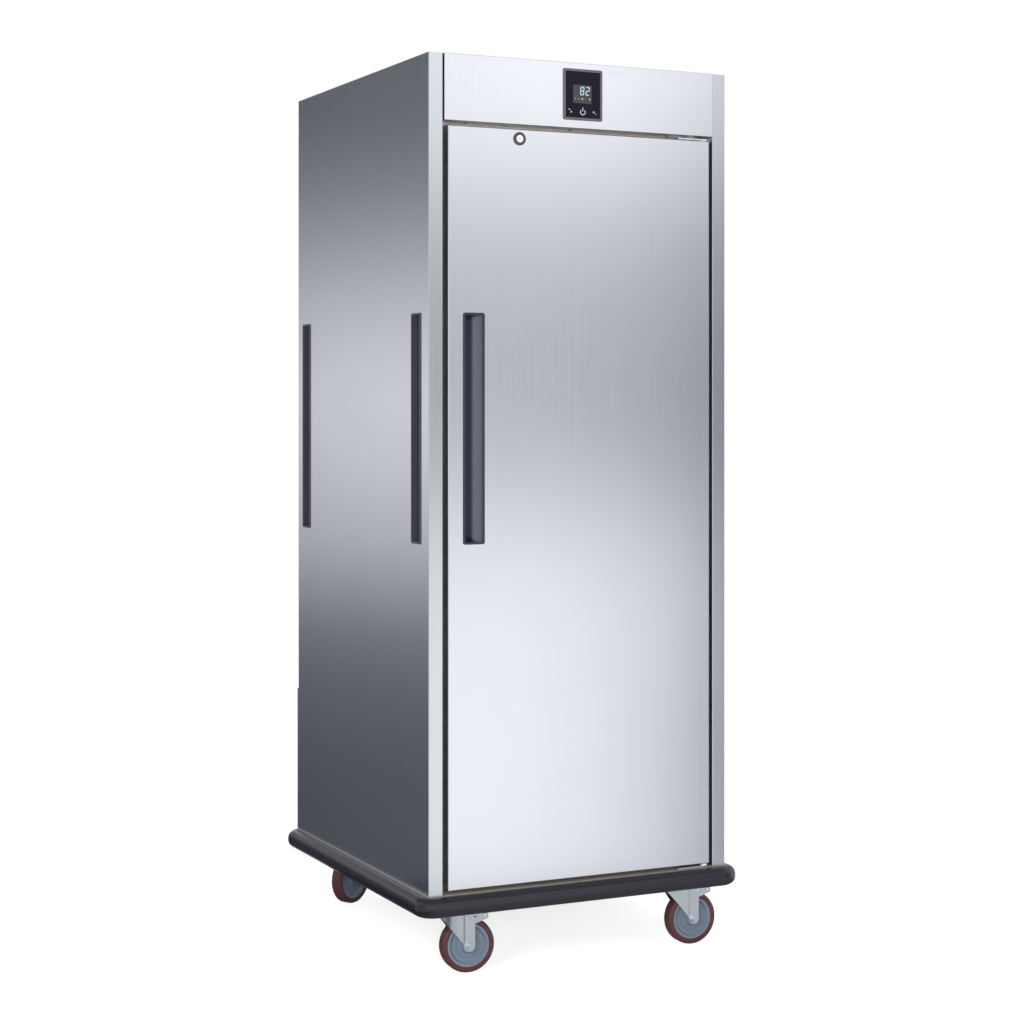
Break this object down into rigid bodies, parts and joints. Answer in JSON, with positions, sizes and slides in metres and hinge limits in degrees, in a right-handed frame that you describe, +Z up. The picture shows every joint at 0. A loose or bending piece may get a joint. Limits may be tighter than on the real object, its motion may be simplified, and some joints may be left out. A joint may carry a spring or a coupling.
{
  "type": "heated banquet cart",
  "caption": "Tall insulated heated cabinet on swivel castors, with a full-height door hinged on the right, recessed pulls, a touch panel in the header and a rubber bumper round the base.",
  "frame": {"origin": "on the floor, under the middle of the cart's overall box", "axes": "+Z up, -Y towards the front with the door, +X to the right as seen from the front"},
  "size_m": [0.795, 0.87, 1.985],
  "materials": {
    "stainless": "vertical satin grain",
    "wire": "polished wire",
    "zinc": "bright zinc plate",
    "bumper": "matt black rubber",
    "pull": "fine textured black",
    "bezel": "satin grey",
    "panel_glass": "gloss near black",
    "housing": "matt",
    "seal": "matt dark",
    "hub": "satin blue grey",
    "tread": "matt maroon",
    "insulation": "mineral wool",
    "motor": "black paint",
    "fan": "mill finish",
    "lock_ring": "black",
    "lock_metal": "polished",
    "nylon": "natural",
    "inlet": "black"
  },
  "bodies": {
    "root": {"left_side_panel": "stainless", "right_side_panel": "stainless", "top_panel": "stainless", "rear_panel": "stainless", "header_fascia": "stainless", "front_frame": "stainless", "base_pan": "stainless", "cavity_liner": "stainless", "insulation": "insulation", "left_rack": "stainless", "right_rack": "stainless", "wire_shelf_1": "wire", "wire_shelf_2": "wire", "wire_shelf_3": "wire", "air_duct": "stainless", "fan_motor": "motor", "heating_element": "stainless", "temperature_probe": "stainless", "rear_cover": "stainless", "power_inlet": "inlet", "control_bezel": "bezel", "control_glass": "panel_glass", "control_housing": "housing", "left_front_grip": "pull", "left_rear_grip": "pull", "right_front_grip": "pull", "right_rear_grip": "pull", "base_frame": "zinc", "bumper": "bumper", "top_hinge_bracket": "stainless", "bottom_hinge_bracket": "stainless", "cabinet_screws": "zinc", "castor_bolts": "zinc", "castor_plates": "zinc"},
    "door": {"door_skin": "stainless", "door_liner": "stainless", "door_insulation": "insulation", "door_gasket": "seal", "door_handle": "pull", "lock_case": "lock_ring", "hinge_bushes": "nylon"},
    "lock": {"lock_barrel": "lock_metal", "lock_cam": "zinc"},
    "fan": {"fan_impeller": "fan"},
    "front_left_castor": {"front_left_fork": "zinc", "front_left_axle": "zinc"},
    "front_left_wheel": {"front_left_hub": "hub", "front_left_tread": "tread"},
    "front_right_castor": {"front_right_fork": "zinc", "front_right_axle": "zinc"},
    "front_right_wheel": {"front_right_hub": "hub", "front_right_tread": "tread"},
    "rear_left_castor": {"rear_left_fork": "zinc", "rear_left_axle": "zinc"},
    "rear_left_wheel": {"rear_left_hub": "hub", "rear_left_tread": "tread"},
    "rear_right_castor": {"rear_right_fork": "zinc", "rear_right_axle": "zinc"},
    "rear_right_wheel": {"rear_right_hub": "hub", "rear_right_tread": "tread"}
  },
  "joints": [
    {"name": "door_hinge", "type": "hinge", "parent": "root", "child": "door", "pos_m": [0.316, -0.397, 1.01215], "axis": [0, 0, 1], "range_deg": [0, 110]},
    {"name": "lock_turn", "type": "hinge", "parent": "door", "child": "lock", "pos_m": [-0.1545, -0.389, 1.8105], "axis": [0, 1, 0], "range_deg": [0, 90]},
    {"name": "fan_spin", "type": "hinge", "parent": "root", "child": "fan", "pos_m": [0, 0.329, 0.388], "axis": [0, 1, 0], "continuous": true},
    {"name": "front_left_swivel", "type": "hinge", "parent": "root", "child": "front_left_castor", "pos_m": [-0.281, -0.345, 0.136], "axis": [0, 0, 1], "continuous": true},
    {"name": "front_left_roll", "type": "hinge", "parent": "front_left_castor", "child": "front_left_wheel", "pos_m": [-0.25315, -0.34793, 0.06], "axis": [0.1045, 0.9945, 0], "continuous": true},
    {"name": "front_right_swivel", "type": "hinge", "parent": "root", "child": "front_right_castor", "pos_m": [0.281, -0.345, 0.136], "axis": [0, 0, 1], "continuous": true},
    {"name": "front_right_roll", "type": "hinge", "parent": "front_right_castor", "child": "front_right_wheel", "pos_m": [0.30898, -0.34598, 0.06], "axis": [0.0349, 0.9994, 0], "continuous": true},
    {"name": "rear_left_swivel", "type": "hinge", "parent": "root", "child": "rear_left_castor", "pos_m": [-0.2715, 0.345, 0.136], "axis": [0, 0, 1], "continuous": true},
    {"name": "rear_left_roll", "type": "hinge", "parent": "rear_left_castor", "child": "rear_left_wheel", "pos_m": [-0.24725, 0.359, 0.06], "axis": [-0.5, 0.866, 0], "continuous": true},
    {"name": "rear_right_swivel", "type": "hinge", "parent": "root", "child": "rear_right_castor", "pos_m": [0.2715, 0.345, 0.136], "axis": [0, 0, 1], "continuous": true},
    {"name": "rear_right_roll", "type": "hinge", "parent": "rear_right_castor", "child": "rear_right_wheel", "pos_m": [0.29867, 0.33823, 0.06], "axis": [0.2419, 0.9703, 0], "continuous": true}
  ]
}
